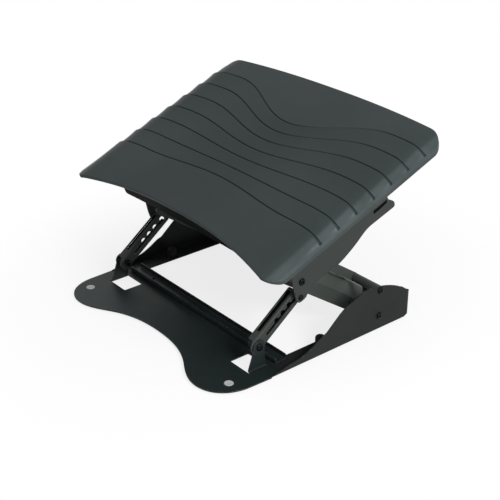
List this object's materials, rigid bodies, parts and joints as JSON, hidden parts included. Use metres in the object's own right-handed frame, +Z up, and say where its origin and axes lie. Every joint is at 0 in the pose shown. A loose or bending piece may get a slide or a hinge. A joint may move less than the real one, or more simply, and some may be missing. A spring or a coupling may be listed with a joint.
{
  "type": "under desk footrest",
  "caption": "Free-standing under desk footrest: sloping arched platform with wavy grip steps on a link-and-strut frame whose height locks in notches.",
  "frame": {"origin": "on the floor, under the middle of the whole object's outline seen from above, with the platform at its highest notch", "axes": "+X to the sitter's right across the footrest, -Y towards the sitter, +Y towards the high edge of the platform, +Z up"},
  "size_m": [0.444, 0.3568, 0.284],
  "materials": {
    "platform_moulding": "dark slate grey moulded plastic with a very fine satin grain",
    "frame_coat": "black satin powder coat on folded sheet steel",
    "plate_coat": "smoother black powder coat on flat sheet steel",
    "fastener": "black oxide screws, pins and rivets",
    "bright_steel": "plain turned steel axles",
    "nylon": "black nylon spacers and bushes",
    "rubber": "black rubber feet and bumpers",
    "foot_pad": "pale grey soft foot plugs"
  },
  "bodies": {
    "base": {"base_front_plate": "plate_coat", "cross_channel": "plate_coat", "rear_bar": "plate_coat", "side_rail_right": "frame_coat", "side_rail_left": "frame_coat", "channel_rivet_right": "fastener", "channel_rivet_left": "fastener", "front_foot_right": "foot_pad", "front_foot_left": "foot_pad", "middle_foot_right": "rubber", "middle_foot_left": "rubber", "rear_foot_right": "rubber", "rear_foot_left": "rubber", "bumper_right": "rubber", "bumper_left": "rubber", "strut_pivot_right": "fastener", "strut_pivot_left": "fastener", "rear_lower_sleeve_right": "nylon", "rear_lower_sleeve_left": "nylon", "rear_upper_sleeve_right": "nylon", "rear_upper_sleeve_left": "nylon", "rear_lower_screw_right": "fastener", "rear_lower_screw_left": "fastener", "rear_upper_screw_right": "fastener", "rear_upper_screw_left": "fastener", "rear_lower_axle": "bright_steel", "rear_upper_axle": "bright_steel"},
    "lower_link": {"lower_lift_frame": "frame_coat"},
    "upper_links": {"upper_link_right": "frame_coat", "upper_link_left": "frame_coat"},
    "platform_unit": {"platform": "platform_moulding", "front_beam": "frame_coat", "rear_beam": "frame_coat", "bracket_right": "frame_coat", "bracket_left": "frame_coat", "notch_pin_right": "fastener", "notch_pin_left": "fastener", "front_lower_sleeve_right": "nylon", "front_lower_sleeve_left": "nylon", "front_upper_sleeve_right": "nylon", "front_upper_sleeve_left": "nylon", "front_lower_screw_right": "fastener", "front_lower_screw_left": "fastener", "front_upper_screw_right": "fastener", "front_upper_screw_left": "fastener", "front_lower_axle": "bright_steel", "front_upper_axle": "bright_steel", "platform_screw_front_outer_right": "fastener", "platform_screw_front_inner_right": "fastener", "platform_screw_front_outer_left": "fastener", "platform_screw_front_inner_left": "fastener", "platform_screw_rear_outer_right": "fastener", "platform_screw_rear_inner_right": "fastener", "platform_screw_rear_outer_left": "fastener", "platform_screw_rear_inner_left": "fastener"},
    "strut_unit_right": {"strut_right": "frame_coat", "strut_bush_right": "nylon"},
    "strut_unit_left": {"strut_left": "frame_coat", "strut_bush_left": "nylon"}
  },
  "joints": [
    {"name": "lift", "type": "hinge", "parent": "base", "child": "lower_link", "pos_m": [0, 0.09815, 0.0243], "axis": [1, 0, 0], "range_deg": [0, 19.5]},
    {"name": "upper_link_pivot", "type": "hinge", "parent": "base", "child": "upper_links", "pos_m": [0, 0.09815, 0.0633], "axis": [1, 0, 0], "range_deg": [0, 19.5]},
    {"name": "platform_level", "type": "hinge", "parent": "lower_link", "child": "platform_unit", "pos_m": [0, -0.02484, 0.10946], "axis": [1, 0, 0], "range_deg": [-19.5, 0]},
    {"name": "strut_pivot_right_hinge", "type": "hinge", "parent": "base", "child": "strut_unit_right", "pos_m": [0.1508, -0.09035, 0.035], "axis": [1, 0, 0], "range_deg": [-31.5, 0]},
    {"name": "strut_pivot_left_hinge", "type": "hinge", "parent": "base", "child": "strut_unit_left", "pos_m": [-0.1508, -0.09035, 0.035], "axis": [1, 0, 0], "range_deg": [-31.5, 0]}
  ],
  "couplings": [
    {"joint": "upper_link_pivot", "follows": "lift", "ratio": 1},
    {"joint": "platform_level", "follows": "lift", "ratio": -1},
    {"joint": "strut_pivot_right_hinge", "follows": "lift", "ratio": -1.605},
    {"joint": "strut_pivot_left_hinge", "follows": "lift", "ratio": -1.605}
  ]
}
